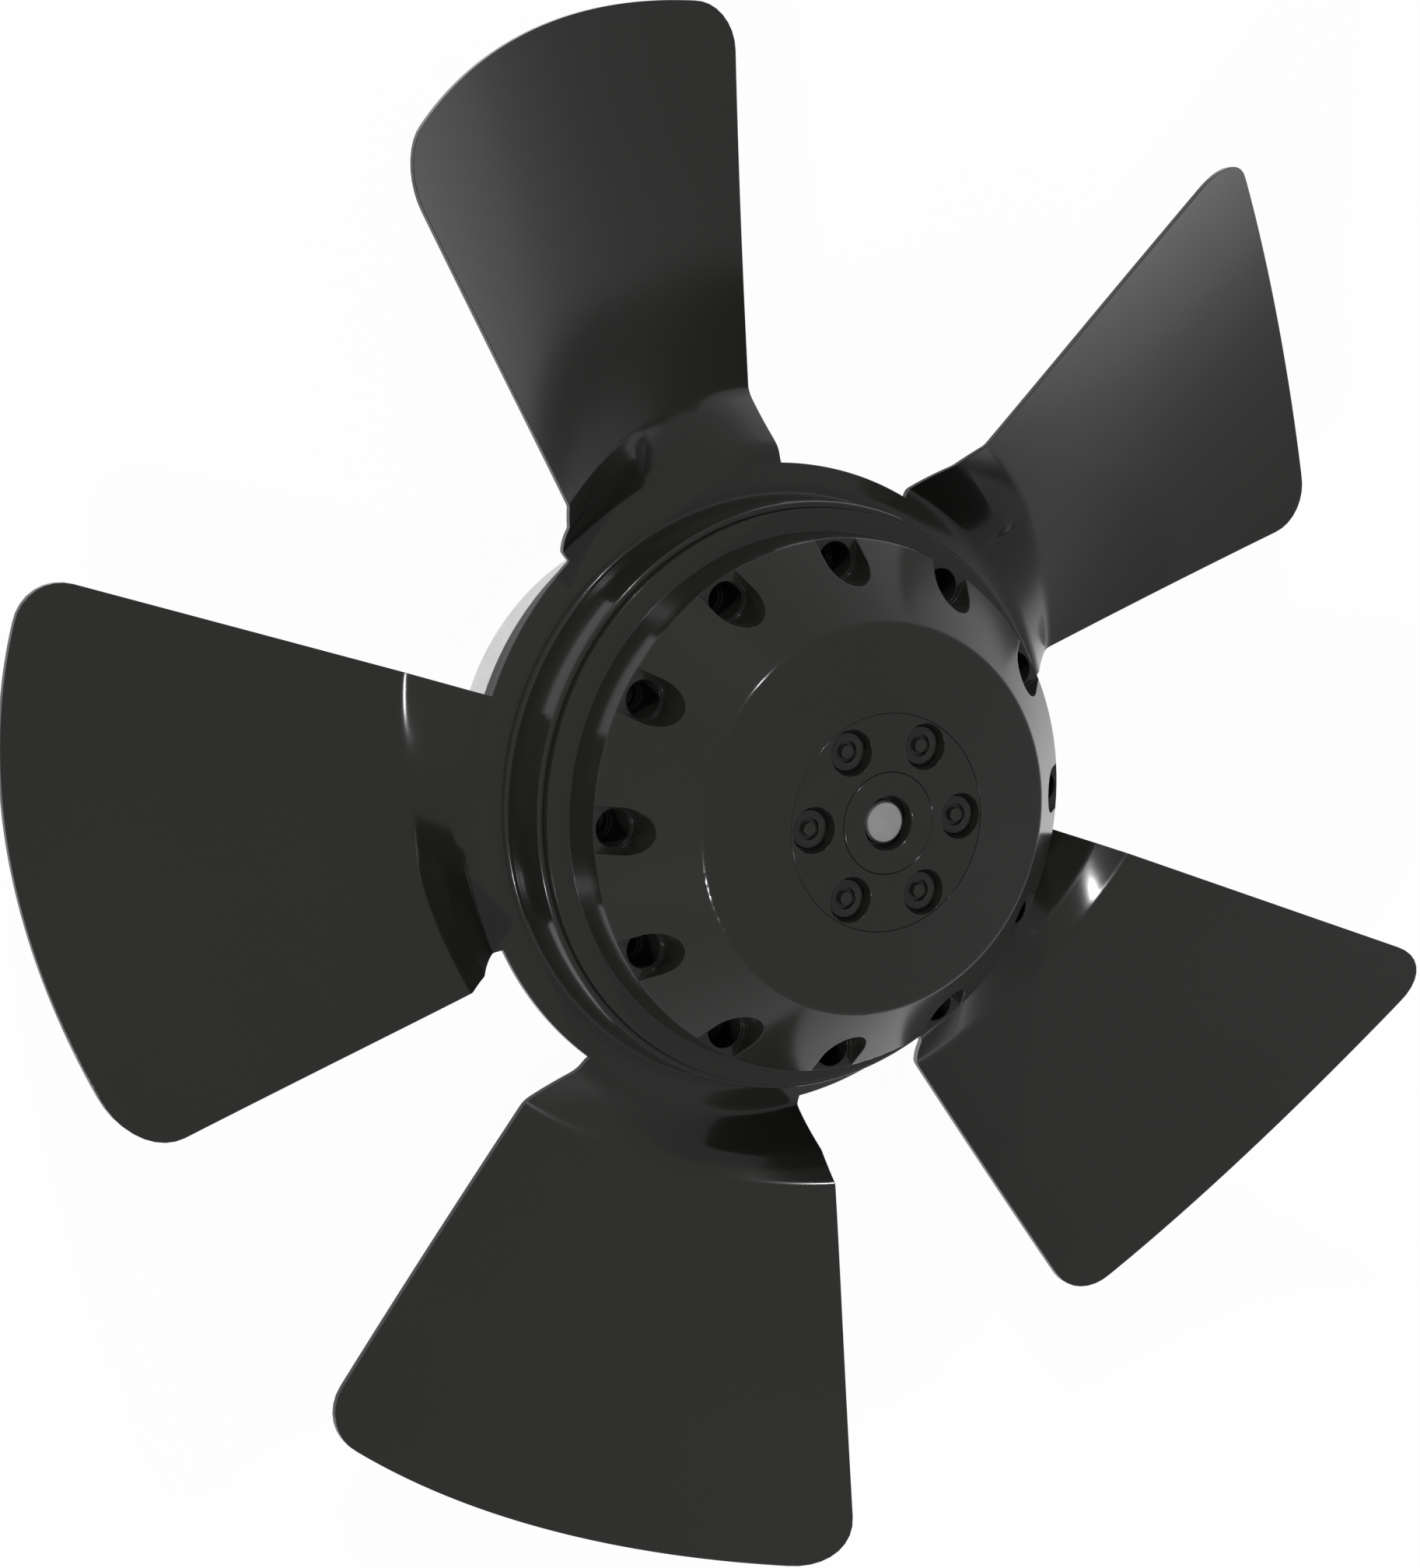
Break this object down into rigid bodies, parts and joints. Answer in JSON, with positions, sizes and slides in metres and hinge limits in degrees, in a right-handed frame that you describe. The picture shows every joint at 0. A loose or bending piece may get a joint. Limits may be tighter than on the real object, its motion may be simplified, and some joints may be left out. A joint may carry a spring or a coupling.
{
  "type": "axial fan impeller",
  "caption": "Black pressed-sheet axial fan impeller with wide twisted blades on a vented external-rotor motor with a bare cast flange.",
  "frame": {"origin": "centre of the stator flange's rear mounting face, on the spin axis", "axes": "+Z along the spin axis, from the rear face to the front of the hub; +X along one blade's centre line"},
  "size_m": [0.2895, 0.2972, 0.0845],
  "materials": {
    "black_paint": "satin black",
    "cast_aluminium": "die-cast, turned face",
    "laminations": "stacked sheet",
    "insulation": "matt",
    "copper_wire": "enamelled",
    "rubber": "matt",
    "switch_case": "matt",
    "bearing_steel": "ground"
  },
  "bodies": {
    "stator": {"stator_flange": "cast_aluminium", "stator_core": "laminations", "insulator_front": "insulation", "insulator_rear": "insulation", "winding_coils": "copper_wire", "front_bearing_outer_ring": "bearing_steel", "rear_bearing_outer_ring": "bearing_steel", "front_bearing_balls": "bearing_steel", "rear_bearing_balls": "bearing_steel", "front_bearing_shields": "bearing_steel", "rear_bearing_shields": "bearing_steel", "preload_spring": "bearing_steel", "bearing_snap_ring": "bearing_steel", "rear_cap": "bearing_steel", "lead_grommet": "rubber", "thermal_protector": "switch_case"},
    "rotor": {"impeller": "black_paint", "rotor_bell": "black_paint", "rotor_core": "laminations", "hub_disc": "black_paint", "hub_bush": "black_paint", "hub_rivets": "black_paint", "shaft": "bearing_steel", "shaft_circlip": "bearing_steel", "shaft_washer": "bearing_steel", "spacer_sleeve": "bearing_steel", "front_bearing_inner_ring": "bearing_steel", "rear_bearing_inner_ring": "bearing_steel"}
  },
  "joints": [
    {"name": "rotor_spin", "type": "hinge", "parent": "stator", "child": "rotor", "pos_m": [0, 0, 0], "axis": [0, 0, 1], "continuous": true}
  ]
}
